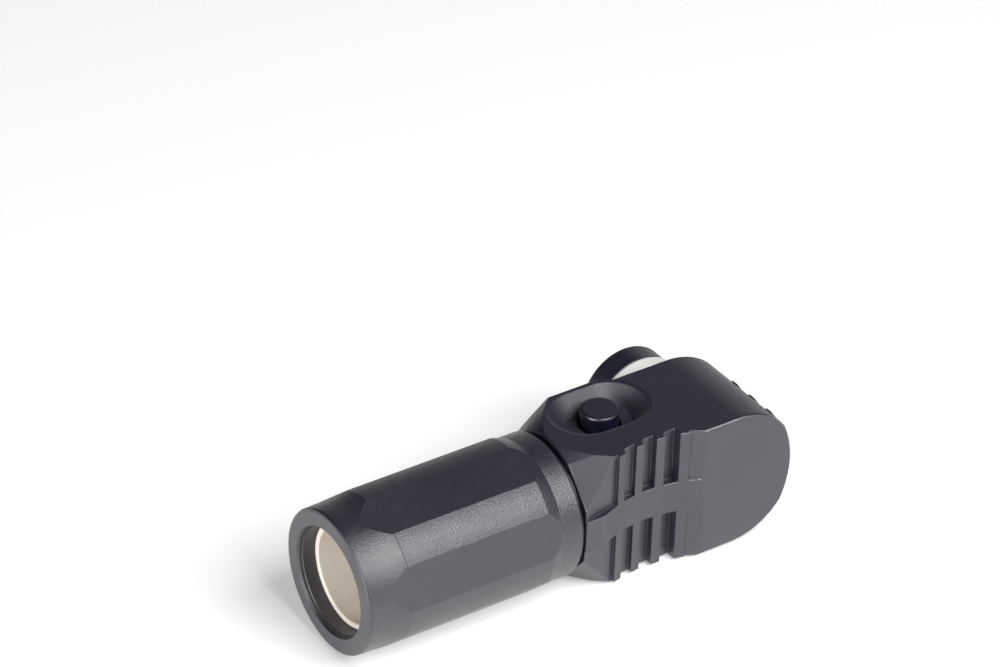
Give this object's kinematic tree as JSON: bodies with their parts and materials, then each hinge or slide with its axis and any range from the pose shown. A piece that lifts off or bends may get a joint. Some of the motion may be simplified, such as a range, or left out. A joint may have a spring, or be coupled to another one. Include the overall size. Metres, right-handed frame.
{
  "type": "right-angle power plug",
  "caption": "Right-angle single-pole power plug: a touch-safe socket contact in a round shroud, a push-button latch and a screwed cable sleeve.",
  "frame": {"origin": "on the mating axis, at the front edge of the socket contact's guide bore", "axes": "+Y along the mating axis, out of the socket; -X the way the cable leaves; +Z the side of the push button"},
  "size_m": [0.0807, 0.032, 0.0252],
  "materials": {
    "black_plastic": "fine moulded grain, satin",
    "sleeve_plastic": "fine moulded grain, satin",
    "button_plastic": "smooth satin",
    "ivory_plastic": "smooth moulded",
    "grey_rubber": "smooth",
    "black_rubber": "smooth",
    "white_rubber": "smooth",
    "silver_plate": "satin silver plate",
    "gold_plate": "bright plated strip",
    "tin_plate": "dull tin plate",
    "spring_steel": "bright stamped steel"
  },
  "bodies": {
    "connector": {"housing": "black_plastic", "sleeve": "sleeve_plastic", "neck_seal": "grey_rubber", "cable_bushing": "ivory_plastic", "gland_seal": "black_rubber", "cable_lug": "tin_plate", "contact_body": "silver_plate", "contact_grid": "gold_plate", "entry_ring": "silver_plate", "rear_ring": "silver_plate", "contact_screw": "spring_steel", "screw_washer": "spring_steel", "contact_seal": "black_rubber", "nose_tip": "black_plastic", "nose_seal": "white_rubber", "latch_spring": "spring_steel", "latch_cover": "black_plastic"},
    "release": {"release_button": "button_plastic", "latch_plate": "spring_steel"}
  },
  "joints": [
    {"name": "button_press", "type": "slide", "parent": "connector", "child": "release", "axis": [0, 0, -1], "range_m": [0, 0.0018], "stiffness_N_per_m": 2500, "springref_m": -0.0012, "deforming": ["latch_spring"]}
  ]
}
